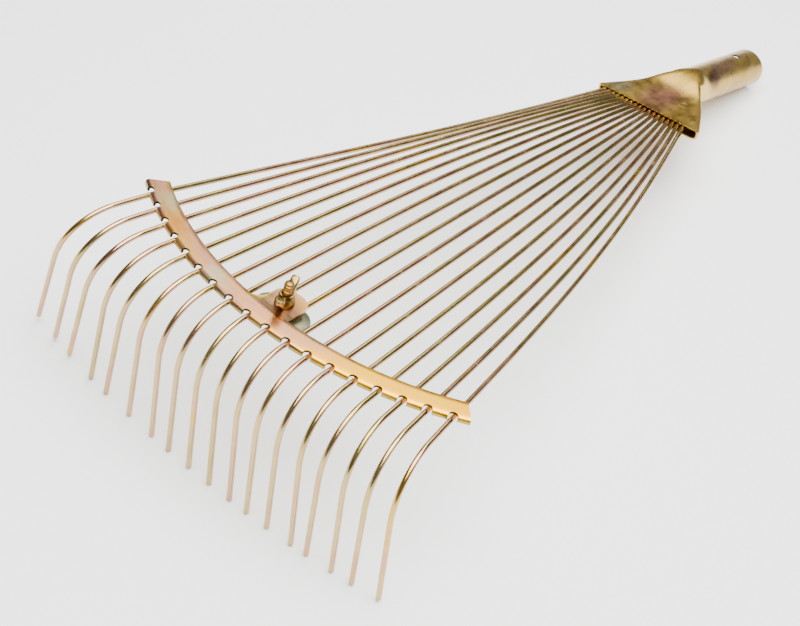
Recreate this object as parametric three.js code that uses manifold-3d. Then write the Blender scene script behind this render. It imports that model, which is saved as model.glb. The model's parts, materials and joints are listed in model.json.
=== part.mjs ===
// Adjustable fan rake head: a rolled sheet socket, eighteen wire tines and a spreader bar clamped
// across them. Millimetres, +Z up. The rake lies on its tine tips and the rim of its socket.
import * as THREE from "three";
import { mergeVertices } from "three/addons/utils/BufferGeometryUtils.js";
import Module from "manifold-3d";

const wasm = await Module();
wasm.setup();

// ---- driving dimensions -------------------------------------------------------------------
const GAP = 0.3; // air between pieces that rest on each other
const TINES = 18;
const WIRE_D = 3.5;
const ROOT_PITCH = WIRE_D + 0.55; // from one wire to the next in the mouth of the head

// spreader bar, and the line of notches it holds the tines in
const BAR_X = 426; // head mouth to the notch line, on the centre line
const BAR_R = 228; // radius of the notch line in plan
const PITCH_DEG = 3.757; // angle from one notch to the next
const SHEET = 1.5;
const BEND_OUT = 2.6; // outside radius of the rolled front edge
const BAR_WIDTH = 15;
const BAR_LIP = 2.5; // how far the front face stands before the notch line
const BAR_UNDER = WIRE_D / 2 + 1.15; // underside of the bar above the tine plane
const LIP_LOW = 0.4; // lower edge of the turned-down lip, above the tine plane
const END_DEG = 2.6; // bar beyond the outermost notch
const NOTCH_CLEAR = 1.2; // room at each side of a wire in its notch
const NOTCH_BACK = 0.6; // middle of a notch behind the front face
const TAB_HALF = 12;
const TAB_DEPTH = 25; // tab behind the back edge of the bar
const TAB_ROUND = 9;

// clamp
const BOLT_D = 6;
const BOLT_BACK = 23; // bolt behind the notch line
const BOLT_CLEAR = 0.4;
const BOLT_STAND = 16; // thread above the tab
const BOLT_HEAD_D = 14;
const BOLT_HEAD_H = 3;
const CLAMP_LENGTH = 38;
const CLAMP_WIDTH = 24;
const CLAMP_THICK = 2;
const NUT_HUB_D = 12;
const NUT_HUB_TOP_D = 9;
const NUT_HUB_H = 7.5;
const WING_SPAN = 27;
const WING_TOP = 12;
const WING_THICK = 3.2;
const NUT_TURN_DEG = 21;

// head: flattened mouth, triangular pan, round socket
const MOUTH_HALF = (TINES / 2 - 0.5) * ROOT_PITCH + 8.775; // wires, side play and wall
const HEAD_HALF = MOUTH_HALF + 1.6;
const HEAD_SHIFT = 3.7; // the pan stands off the middle of the fan
const LIP_SLANT = 5; // lower lip behind the upper one
const CORNER = 3;
const PAN_LENGTH = 60;
const NECK = 78; // where the socket is round
const SOCKET_D = 29;
const HEAD_WALL = 1.2;
const SOCKET_END = 169;
const NECK_DROP = 5.5; // socket axis below the tine plane at the neck
const END_DROP = 17.6; // and at the open end
const MOUTH_TOP = WIRE_D / 2 + GAP + HEAD_WALL;
const MOUTH_BELLY = 7;
const SCREW_D = 5.5;
const SCREW_BACK = 28;
const HEAD_ROLL_DEG = 6; // the head stands a little twisted against the bar

// tines
const ROOT_DEPTH = 7; // wire inside the head
const BOW = 15.8; // sideways bow of the spread wires
const BOW_FADE = 0.56;
const BOW_SKEW = -0.226;
const ARCH = 4; // upward arch of the middle wires
const ARCH_FADE = 13;
const ARCH_SKEW = -0.4;
const STUB = 2.7; // straight wire in front of the bar
const BEND_R = 31;
const BEND_DEG = 80.8;
const EASE_R = 47;
const EASE_DEG = 16;
const TIP = 66;
const TIP_FADE = 3;
const FAN_TWIST_DEG = 8.4; // outward lean of the outermost tips
const LEAN_DEG = 2.5;
const LEAN_FADE_DEG = 8;
const SET_DEG = { 3: -2, 5: -2, 7: 1.5, 12: -1.5, 13: -1.5, 15: -2, 18: 2.5 }; // tips bent out of line

const rad = THREE.MathUtils.degToRad;
const WIRE_R = WIRE_D / 2;
const BAR_TOP = BAR_UNDER + SHEET;
const FRONT_R = BAR_R + BAR_LIP;
const BACK_R = FRONT_R - BAR_WIDTH;
const BAR_CX = BAR_X - BAR_R;
const BAR_HALF_DEG = (TINES / 2 - 0.5) * PITCH_DEG + END_DEG;
const BOLT_X = BAR_X - BOLT_BACK;
const NOTCH_R = WIRE_R + NOTCH_CLEAR;
const HOLE_R = BOLT_D / 2 + BOLT_CLEAR;
const roll = rad(HEAD_ROLL_DEG);

// ---- helpers ------------------------------------------------------------------------------
// A geometry as a solid for joins and cuts.
function solid(geometry) {
  const g = geometry.index ? geometry.toNonIndexed() : geometry.clone();
  g.deleteAttribute("normal");
  g.deleteAttribute("uv");
  const m = mergeVertices(g, 1e-4);
  return new wasm.Manifold(
    new wasm.Mesh({
      numProp: 3,
      vertProperties: m.attributes.position.array,
      triVerts: new Uint32Array(m.index.array),
    }),
  );
}

// A solid back as a geometry with flat faces.
function geometryOf(body) {
  const mesh = body.getMesh();
  const g = new THREE.BufferGeometry();
  g.setAttribute("position", new THREE.BufferAttribute(new Float32Array(mesh.vertProperties), 3));
  g.setIndex(new THREE.BufferAttribute(new Uint32Array(mesh.triVerts), 1));
  const flat = g.toNonIndexed();
  flat.computeVertexNormals();
  return flat;
}

// An upright cylinder between two heights.
function post(x, y, radius, low, high, sides = 32) {
  const g = new THREE.CylinderGeometry(radius, radius, high - low, sides);
  g.rotateX(Math.PI / 2);
  g.translate(x, y, (low + high) / 2);
  return g;
}

// A plan outline raised from one height to another.
function plate(shape, low, high, segments = 12) {
  const g = new THREE.ExtrudeGeometry(shape, {
    depth: high - low,
    bevelEnabled: false,
    curveSegments: segments,
  });
  g.translate(0, 0, low);
  return g;
}

// A closed skin over a stack of rings of equal count; ring i joins ring i+1, the last joins the first.
function torusOf(rings) {
  const n = rings[0].length;
  const position = rings.flat().flatMap((p) => [p.x, p.y, p.z]);
  const index = [];
  rings.forEach((ring, i) => {
    const a = i * n;
    const b = ((i + 1) % rings.length) * n;
    ring.forEach((p, j) => {
      const k = (j + 1) % n;
      index.push(a + j, b + j, b + k, a + j, b + k, a + k);
    });
  });
  const g = new THREE.BufferGeometry();
  g.setAttribute("position", new THREE.Float32BufferAttribute(position, 3));
  g.setIndex(index);
  return g;
}

const material = (color, roughness) =>
  new THREE.MeshStandardMaterial({ color, roughness, metalness: 0.9 });

const group = new THREE.Group();
const fan = new THREE.Group();
group.add(fan);

function addPiece(parent, name, geometry, color, roughness = 0.4) {
  const mesh = new THREE.Mesh(geometry, material(color, roughness));
  mesh.name = name;
  parent.add(mesh);
  return mesh;
}

// ---- head ---------------------------------------------------------------------------------
// Half-width, top, belly and squareness of the skin at a distance behind the mouth.
function headSection(back) {
  const neck = THREE.MathUtils.smoothstep(back, PAN_LENGTH * 0.6, NECK);
  const belly = THREE.MathUtils.smoothstep(back, 0, NECK);
  const along = Math.min(back / PAN_LENGTH, 1);
  const pan = HEAD_HALF + (SOCKET_D / 2 - HEAD_HALF) * along;
  const corner = Math.max(0, CORNER - back) / CORNER;
  const half = pan - (HEAD_HALF - MOUTH_HALF) * (1 - Math.sqrt(1 - corner * corner));
  const axis = -NECK_DROP - ((END_DROP - NECK_DROP) * (back - NECK)) / (SOCKET_END - NECK);
  const round = SOCKET_D / 2;
  return {
    half: Math.max(half, round),
    top: MOUTH_TOP + (axis + round - MOUTH_TOP) * neck,
    bottom: -MOUTH_BELLY + (axis - round + MOUTH_BELLY) * belly,
    middle: axis * neck,
    square: 12 - 10 * neck,
    bellySquare: 4 - 2 * belly,
    shift: HEAD_SHIFT * (1 - THREE.MathUtils.smoothstep(back, PAN_LENGTH / 3, PAN_LENGTH)),
    slant: LIP_SLANT * (1 - THREE.MathUtils.smoothstep(back, 0, PAN_LENGTH / 3)),
  };
}

// One ring of the skin, drawn in by an inset.
function headRing(back, inset) {
  const s = headSection(back);
  const w = s.half - inset;
  const ring = [];
  const sides = 36;
  for (let j = 0; j < sides; j += 1) {
    const a = (2 * Math.PI * j) / sides;
    const c = Math.cos(a);
    const d = Math.sin(a);
    const e = 2 / (d >= 0 ? s.square : s.bellySquare);
    const up = d >= 0 ? s.top - inset - s.middle : s.middle - s.bottom - inset;
    const y = w * Math.sign(c) * Math.abs(c) ** e;
    const z = s.middle + up * Math.sign(d) * Math.abs(d) ** e;
    const low = ((s.top - z) / (s.top - s.bottom)) * (1 - 0.8 * (y / w) ** 2);
    ring.push(new THREE.Vector3(-back - s.slant * low, y + s.shift, z));
  }
  return ring;
}

function makeHead() {
  const stations = [0, 1, 2.5, 5, 12, 20, 30, 38, 46, 52, 58, 64, 70, 78, 125, SOCKET_END];
  const outer = stations.map((b) => headRing(b, 0));
  const inner = stations.map((b) => headRing(b, HEAD_WALL)).reverse();
  const skin = solid(torusOf([...outer, ...inner]));
  const screw = solid(post(-(SOCKET_END - SCREW_BACK), 0, SCREW_D / 2, -60, 20, 20));
  return geometryOf(skin.subtract(screw));
}

const head = new THREE.Group();
head.rotation.x = roll;
fan.add(head);
addPiece(head, "socket_head", makeHead(), 0xb8a45c);

// ---- tines --------------------------------------------------------------------------------
// Everything that fixes the line of tine k, counted from the middle.
function tineRule(k) {
  const edge = k / (TINES / 2 - 0.5);
  const turn = rad(k * PITCH_DEG);
  const notch = new THREE.Vector3(BAR_CX + BAR_R * Math.cos(turn), BAR_R * Math.sin(turn), 0);
  const root = new THREE.Vector3(0, k * ROOT_PITCH * Math.cos(roll), k * ROOT_PITCH * Math.sin(roll));
  const bow = BOW * edge * (1 - BOW_FADE * edge * edge);
  const arch = ARCH - ARCH_FADE * edge * edge;
  const rise = notch.y - root.y;
  return {
    edge,
    notch,
    root,
    bow,
    arch,
    length: Math.hypot(notch.x, rise),
    startSlope: (rise + bow * 4 * (1 - BOW_SKEW)) / notch.x,
    endSlope: (rise - bow * 4 * (1 + BOW_SKEW)) / notch.x,
    twist: rad(FAN_TWIST_DEG * edge + LEAN_DEG - LEAN_FADE_DEG * edge * edge),
    tip: TIP + TIP_FADE / 3 - TIP_FADE * edge * edge,
  };
}

const LONGEST = Math.max(...[...Array(TINES).keys()].map((i) => tineRule(i - TINES / 2 + 0.5).length));

// The centre line of one tine from its root in the head to its tip.
class TineLine extends THREE.Curve {
  constructor(k, set) {
    super();
    const r = tineRule(k);
    const points = [];
    // Inside the head the wires turn parallel to one another.
    const settle = (r.startSlope * ROOT_DEPTH) / 3;
    points.push(new THREE.Vector3(-ROOT_DEPTH, r.root.y - settle, r.root.z));
    points.push(new THREE.Vector3(-ROOT_DEPTH / 2, r.root.y - settle * 0.875, r.root.z));
    for (let i = 0; i <= 10; i += 1) {
      const t = i / 10;
      const swell = 4 * t * (1 - t);
      points.push(
        new THREE.Vector3(
          r.notch.x * t,
          r.root.y + (r.notch.y - r.root.y) * t + r.bow * swell * (1 + BOW_SKEW * (2 * t - 1)),
          r.root.z * (1 - t) + r.arch * swell * (1 + ARCH_SKEW * (2 * t - 1)),
        ),
      );
    }
    const ahead = new THREE.Vector2(1, r.endSlope).normalize();
    const lean = r.twist + rad(set);
    const stub = STUB + LONGEST - r.length;
    // A point of the hook from its reach along the tine and its depth below it.
    const hook = (reach, depth) => {
      const side = depth * Math.sin(lean);
      points.push(
        new THREE.Vector3(
          r.notch.x + ahead.x * reach - ahead.y * side,
          r.notch.y + ahead.y * reach + ahead.x * side,
          -depth * Math.cos(lean),
        ),
      );
    };
    const bend = rad(BEND_DEG);
    const full = rad(BEND_DEG + EASE_DEG);
    for (let i = 0; i <= 8; i += 1) {
      const a = (bend * i) / 8;
      hook(stub + BEND_R * Math.sin(a), BEND_R * (1 - Math.cos(a)));
    }
    const reach = stub + BEND_R * Math.sin(bend);
    const depth = BEND_R * (1 - Math.cos(bend));
    for (let i = 1; i <= 2; i += 1) {
      const a = bend + ((full - bend) * i) / 2;
      hook(
        reach + EASE_R * (Math.sin(a) - Math.sin(bend)),
        depth + EASE_R * (Math.cos(bend) - Math.cos(a)),
      );
    }
    const endReach = reach + EASE_R * (Math.sin(full) - Math.sin(bend));
    const endDepth = depth + EASE_R * (Math.cos(bend) - Math.cos(full));
    hook(endReach + r.tip * Math.cos(full), endDepth + r.tip * Math.sin(full));
    this.points = points;
    this.steps = points.length - 1;
  }
  getPoint(t, target = new THREE.Vector3()) {
    const at = t * this.steps;
    const i = Math.min(Math.floor(at), this.steps - 1);
    return target.lerpVectors(this.points[i], this.points[i + 1], at - i);
  }
  getPointAt(u, target) {
    return this.getPoint(u, target);
  }
  getTangentAt(u, target = new THREE.Vector3()) {
    const i = Math.round(u * this.steps);
    const before = this.points[Math.max(i - 1, 0)];
    const after = this.points[Math.min(i + 1, this.steps)];
    return target.subVectors(after, before).normalize();
  }
}

const wireSection = new THREE.Shape();
wireSection.absarc(0, 0, WIRE_R, 0, 2 * Math.PI, false);

for (let i = 1; i <= TINES; i += 1) {
  const line = new TineLine(i - TINES / 2 - 0.5, SET_DEG[i] ?? 0);
  const wire = new THREE.ExtrudeGeometry(wireSection, {
    extrudePath: line,
    steps: line.steps,
    curveSegments: 5,
    bevelEnabled: false,
  });
  addPiece(fan, "tine_" + String(i).padStart(2, "0"), wire, 0xa89a62);
}

// ---- spreader bar -------------------------------------------------------------------------
// The flat of the bar with its central tab, in plan.
function barOutline() {
  const s = new THREE.Shape();
  const a = rad(BAR_HALF_DEG);
  const front = FRONT_R - BEND_OUT - 0.5;
  const at = (r, t) => [BAR_CX + r * Math.cos(t), r * Math.sin(t)];
  const join = Math.asin((TAB_HALF + 3) / BACK_R);
  const tabBack = BAR_CX + BACK_R - TAB_DEPTH;
  s.moveTo(...at(front, -a));
  s.absarc(BAR_CX, 0, front, -a, a, false);
  s.quadraticCurveTo(...at((front + BACK_R) / 2, a + rad(0.7)), ...at(BACK_R, a - rad(0.9)));
  s.absarc(BAR_CX, 0, BACK_R, a - rad(0.9), join, true);
  s.quadraticCurveTo(BAR_CX + BACK_R - 1, TAB_HALF, BAR_CX + BACK_R - 4, TAB_HALF);
  s.lineTo(tabBack + TAB_ROUND, TAB_HALF);
  s.absarc(tabBack + TAB_ROUND, TAB_HALF - TAB_ROUND, TAB_ROUND, Math.PI / 2, Math.PI, false);
  s.lineTo(tabBack, TAB_ROUND - TAB_HALF);
  s.absarc(tabBack + TAB_ROUND, TAB_ROUND - TAB_HALF, TAB_ROUND, Math.PI, Math.PI * 1.5, false);
  s.lineTo(BAR_CX + BACK_R - 4, -TAB_HALF);
  s.quadraticCurveTo(BAR_CX + BACK_R - 1, -TAB_HALF, ...at(BACK_R, -join));
  s.absarc(BAR_CX, 0, BACK_R, -join, -a, true);
  s.closePath();
  return s;
}

// The rolled front edge: an angle section carried round the arc of the bar.
function barLip() {
  const inside = FRONT_R - SHEET;
  const centre = [FRONT_R - BEND_OUT, BAR_TOP - BEND_OUT];
  const bend = (radius, turn) => [centre[0] + radius * Math.cos(turn), centre[1] + radius * Math.sin(turn)];
  const section = [
    [inside, LIP_LOW],
    [FRONT_R, LIP_LOW],
    ...[0, 0.25, 0.5, 0.75, 1].map((u) => bend(BEND_OUT, (u * Math.PI) / 2)),
    [FRONT_R - BEND_OUT - 1.5, BAR_TOP],
    [FRONT_R - BEND_OUT - 1.5, BAR_UNDER],
    ...[1, 0.5, 0].map((u) => bend(BEND_OUT - SHEET, (u * Math.PI) / 2)),
  ];
  const a = rad(BAR_HALF_DEG);
  const sides = 36;
  const n = section.length;
  const position = [];
  for (let i = 0; i <= sides; i += 1) {
    const t = -a + (2 * a * i) / sides;
    section.forEach(([r, z]) => position.push(BAR_CX + r * Math.cos(t), r * Math.sin(t), z));
  }
  const index = [];
  for (let i = 0; i < sides; i += 1) {
    for (let j = 0; j < n; j += 1) {
      const k = (j + 1) % n;
      const p = i * n;
      index.push(p + j, p + k + n, p + k, p + j, p + j + n, p + k + n);
    }
  }
  const cap = THREE.ShapeUtils.triangulateShape(section.map(([r, z]) => new THREE.Vector2(r, z)), []);
  cap.forEach(([p, q, r]) => {
    index.push(p, q, r);
    index.push(sides * n + p, sides * n + r, sides * n + q);
  });
  const g = new THREE.BufferGeometry();
  g.setAttribute("position", new THREE.Float32BufferAttribute(position, 3));
  g.setIndex(index);
  const body = solid(g);
  return body.volume() > 0 ? body : solid(flipped(g));
}

function flipped(g) {
  const h = g.clone();
  const list = Array.from(h.index.array);
  for (let i = 0; i < list.length; i += 3) {
    [list[i + 1], list[i + 2]] = [list[i + 2], list[i + 1]];
  }
  h.setIndex(list);
  return h;
}

function makeBar() {
  let bar = solid(plate(barOutline(), BAR_UNDER, BAR_TOP, 18)).add(barLip());
  for (let i = 0; i < TINES; i += 1) {
    const t = rad((i - TINES / 2 + 0.5) * PITCH_DEG);
    const r = FRONT_R - NOTCH_BACK;
    const x = BAR_CX + r * Math.cos(t);
    bar = bar.subtract(solid(post(x, r * Math.sin(t), NOTCH_R, LIP_LOW - 2, BAR_TOP + 2, 20)));
  }
  return geometryOf(bar.subtract(solid(post(BOLT_X, 0, HOLE_R, 0, BAR_TOP + 2, 28))));
}

addPiece(fan, "spreader_bar", makeBar(), 0xc9a94e);

// ---- clamp --------------------------------------------------------------------------------
const CLAMP_TOP = -WIRE_R - GAP;
const CLAMP_LOW = CLAMP_TOP - CLAMP_THICK;

function clampOutline() {
  const s = new THREE.Shape();
  const r = CLAMP_WIDTH / 2;
  const e = CLAMP_LENGTH / 2 - r;
  s.moveTo(BOLT_X + r, -e);
  s.lineTo(BOLT_X + r, e);
  s.absarc(BOLT_X, e, r, 0, Math.PI, false);
  s.lineTo(BOLT_X - r, -e);
  s.absarc(BOLT_X, -e, r, Math.PI, 2 * Math.PI, false);
  const hole = new THREE.Path();
  hole.absarc(BOLT_X, 0, HOLE_R, 0, 2 * Math.PI, true);
  s.holes.push(hole);
  return s;
}

addPiece(fan, "clamp_plate", plate(clampOutline(), CLAMP_LOW, CLAMP_TOP, 14), 0x8f8c7c);

// A turned piece from its profile of radius and height, closed on the axis.
function turned(profile, sides) {
  const g = new THREE.LatheGeometry(profile.map(([r, z]) => new THREE.Vector2(r, z)), sides);
  g.rotateX(Math.PI / 2);
  g.translate(BOLT_X, 0, 0);
  return g;
}

const HEAD_TOP = CLAMP_LOW - GAP;
const BOLT_TOP = BAR_TOP + BOLT_STAND;
const boltProfile = [
  [0, HEAD_TOP - BOLT_HEAD_H],
  [BOLT_HEAD_D * 0.3, HEAD_TOP - BOLT_HEAD_H + 0.4],
  [BOLT_HEAD_D * 0.45, HEAD_TOP - BOLT_HEAD_H * 0.45],
  [BOLT_HEAD_D / 2, HEAD_TOP - 0.6],
  [BOLT_HEAD_D / 2, HEAD_TOP],
  [BOLT_D / 2, HEAD_TOP],
  [BOLT_D / 2, BOLT_TOP - 0.8],
  [BOLT_D / 2 - 0.8, BOLT_TOP],
  [0, BOLT_TOP],
];
addPiece(fan, "clamp_bolt", turned(boltProfile, 28), 0xb08d4a);

function makeWingNut() {
  const low = BAR_TOP + GAP;
  const hub = turned(
    [
      [0, low],
      [NUT_HUB_D / 2, low],
      [NUT_HUB_D / 2, low + 2],
      [NUT_HUB_TOP_D / 2, low + NUT_HUB_H],
      [0, low + NUT_HUB_H],
    ],
    28,
  );
  const wing = new THREE.Shape();
  const reach = WING_SPAN / 2;
  wing.moveTo(-NUT_HUB_TOP_D / 2 + 1, 1);
  wing.lineTo(NUT_HUB_TOP_D / 2 - 1, 1);
  wing.lineTo(NUT_HUB_D / 2 + 0.5, 1.8);
  wing.quadraticCurveTo(reach, 4.5, reach, WING_TOP - 2.5);
  wing.quadraticCurveTo(reach, WING_TOP, reach - 3, WING_TOP);
  wing.quadraticCurveTo(NUT_HUB_D / 2 + 1, WING_TOP, NUT_HUB_TOP_D / 2 - 0.2, NUT_HUB_H - 1);
  wing.lineTo(-NUT_HUB_TOP_D / 2 + 0.2, NUT_HUB_H - 1);
  wing.quadraticCurveTo(-NUT_HUB_D / 2 - 1, WING_TOP, -reach + 3, WING_TOP);
  wing.quadraticCurveTo(-reach, WING_TOP, -reach, WING_TOP - 2.5);
  wing.quadraticCurveTo(-reach, 4.5, -NUT_HUB_D / 2 - 0.5, 1.8);
  wing.closePath();
  const blade = new THREE.ExtrudeGeometry(wing, {
    depth: WING_THICK,
    bevelEnabled: false,
    curveSegments: 5,
  });
  blade.translate(0, 0, -WING_THICK / 2);
  blade.rotateX(Math.PI / 2);
  blade.rotateZ(rad(NUT_TURN_DEG));
  blade.translate(BOLT_X, 0, low);
  const bore = post(BOLT_X, 0, BOLT_D / 2 + GAP, low - 2, low + WING_TOP + 4, 28);
  return geometryOf(solid(hub).add(solid(blade)).subtract(solid(bore)));
}

addPiece(fan, "wing_nut", makeWingNut(), 0x9c7f45);

// ---- how the rake lies --------------------------------------------------------------------
// The line under the socket rim and the middle tips is laid level, then lowered onto the floor,
// with the middle of the outline over the origin.
const hookLow =
  BEND_R * (1 - Math.cos(rad(BEND_DEG))) +
  EASE_R * (Math.cos(rad(BEND_DEG)) - Math.cos(rad(BEND_DEG + EASE_DEG))) +
  TIP * Math.sin(rad(BEND_DEG + EASE_DEG));
const hookReach = BEND_R + TIP * Math.cos(rad(BEND_DEG + EASE_DEG));
const rimLow = END_DROP + SOCKET_D / 2;
fan.rotation.y = -Math.atan2(hookLow - rimLow, BAR_X + hookReach + SOCKET_END);
group.updateMatrixWorld(true);
const bounds = new THREE.Box3().setFromObject(fan, true);
const middle = bounds.getCenter(new THREE.Vector3());
group.position.set(-middle.x, -middle.y, -bounds.min.z);

export default group;
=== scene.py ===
"""Wire fan rake head in yellow-passivated zinc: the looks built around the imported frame.

The rake is laid out in a fan frame in millimetres: the origin is at the head's mouth, x runs
towards the tips, y across the fan and z square to it. REST turns that frame into the row frame.
"""

import json
import logging
import math
from dataclasses import dataclass, field
from enum import Enum
from typing import Iterable, Sequence

import bmesh
import bpy
from mathutils import Matrix, Vector

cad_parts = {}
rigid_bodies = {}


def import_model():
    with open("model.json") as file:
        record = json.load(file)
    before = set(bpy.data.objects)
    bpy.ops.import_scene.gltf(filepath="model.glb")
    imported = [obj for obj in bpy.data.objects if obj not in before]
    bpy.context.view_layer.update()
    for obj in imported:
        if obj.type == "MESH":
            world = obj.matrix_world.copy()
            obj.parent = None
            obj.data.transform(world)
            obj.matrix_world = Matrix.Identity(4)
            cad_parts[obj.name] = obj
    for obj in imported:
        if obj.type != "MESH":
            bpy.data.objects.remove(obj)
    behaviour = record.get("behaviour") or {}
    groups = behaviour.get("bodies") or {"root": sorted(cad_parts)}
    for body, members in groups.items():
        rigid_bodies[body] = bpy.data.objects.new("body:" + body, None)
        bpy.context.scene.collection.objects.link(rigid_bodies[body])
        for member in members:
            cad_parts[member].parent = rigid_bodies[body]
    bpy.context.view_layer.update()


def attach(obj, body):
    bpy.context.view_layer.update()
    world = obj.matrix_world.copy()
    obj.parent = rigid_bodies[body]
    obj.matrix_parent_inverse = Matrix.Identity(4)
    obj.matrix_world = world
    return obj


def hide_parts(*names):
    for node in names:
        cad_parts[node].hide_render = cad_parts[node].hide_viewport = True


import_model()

MM = 0.001
REST_PITCH = math.asin(0.116574)  # the fan plane climbs towards the tips
REST_AT = (-147.57, 7.378, 52.279)  # middle of the head's mouth in the row frame
REST = Matrix.Translation(Vector(REST_AT) * MM) @ Matrix.Rotation(-REST_PITCH, 4, "Y")
HEAD_ROLL_ANGLE = math.radians(6.0)  # the head stands a little twisted against the bar
HEAD_ROLL = Matrix.Rotation(HEAD_ROLL_ANGLE, 4, "X")

WELD_RADIUS = 3.4  # of a spot weld's ring, in millimetres

Outline = Sequence[tuple[float, float]]
log = logging.getLogger("rake")


def to_linear(code: str) -> tuple[float, float, float, float]:
    """Turns an sRGB hex code into linear RGBA.

    Args:
        code: six hex digits, with or without a leading hash.

    Returns:
        The linear colour with alpha 1.
    """
    digits = code.lstrip("#")
    parts = [int(digits[i : i + 2], 16) / 255 for i in (0, 2, 4)]
    linear = [c / 12.92 if c <= 0.04045 else ((c + 0.055) / 1.055) ** 2.4 for c in parts]
    return (*linear, 1.0)


def smooth(value: float, low: float, high: float) -> float:
    """Eases from 0 at low to 1 at high."""
    t = min(max((value - low) / (high - low), 0.0), 1.0)
    return t * t * (3 - 2 * t)


def add(tree: bpy.types.NodeTree, kind: str, inputs: dict | None = None, **settings) -> bpy.types.Node:
    """Adds one node with its settings and links.

    Args:
        tree: the node tree.
        kind: the node's type name.
        inputs: socket name or index to a value, or to another node's output socket.
        **settings: attributes of the node itself.

    Returns:
        The new node.
    """
    made = tree.nodes.new(kind)
    for key, value in settings.items():
        setattr(made, key, value)
    for key, value in (inputs or {}).items():
        if isinstance(value, bpy.types.NodeSocket):
            tree.links.new(value, made.inputs[key])
        else:
            made.inputs[key].default_value = value
    return made


def mesh_object(name: str, verts: Iterable, faces: Iterable = (), edges: Iterable = ()) -> bpy.types.Object:
    """Makes a linked object from raw mesh data.

    Args:
        name: its name and its mesh's.
        verts: places in metres.
        faces: vertex numbers of each face.
        edges: vertex numbers of each loose edge.

    Returns:
        The new object.
    """
    mesh = bpy.data.meshes.new(name)
    mesh.from_pydata([tuple(v) for v in verts], list(edges), list(faces))
    made = bpy.data.objects.new(name, mesh)
    bpy.context.scene.collection.objects.link(made)
    return made


def placed(points: Iterable, extra: Matrix | None = None) -> list[Vector]:
    """Takes fan-frame millimetres to row-frame metres, with an optional turn in the fan frame."""
    turn = REST @ extra if extra else REST
    return [turn @ (Vector(p) * MM) for p in points]


def clean(obj: bpy.types.Object, sharp_deg: float = 32.0) -> bpy.types.Object:
    """Merges doubles, turns the faces outwards and smooths all but the sharp edges.

    Args:
        obj: a mesh object.
        sharp_deg: edges that turn by more than this stay sharp.

    Returns:
        The same object.
    """
    bm = bmesh.new()
    bm.from_mesh(obj.data)
    bmesh.ops.remove_doubles(bm, verts=bm.verts, dist=2e-6)
    bmesh.ops.recalc_face_normals(bm, faces=bm.faces)
    bm.to_mesh(obj.data)
    bm.free()
    obj.data.shade_smooth()
    obj.data.set_sharp_from_angle(angle=math.radians(sharp_deg))
    return obj


# ---- finishes -----------------------------------------------------------------------------


class Slot(Enum):
    """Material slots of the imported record."""

    HEAD = "head"
    WIRE = "wire"
    BAR = "bar"
    CLAMP = "clamp"
    FIXING = "fixing"


class Space(Enum):
    """Where a finish reads its pattern from."""

    OBJECT = "object"
    ALONG = "along"


@dataclass(frozen=True)
class StainAndShadePatch:
    """A soft patch of one tint, placed in fan millimetres; most are the film's own colour, a few are
    painted shade and painted reflection.
    """

    centre: tuple[float, float, float]
    size: tuple[float, float, float]
    tint: str
    strength: float = 0.8


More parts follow.
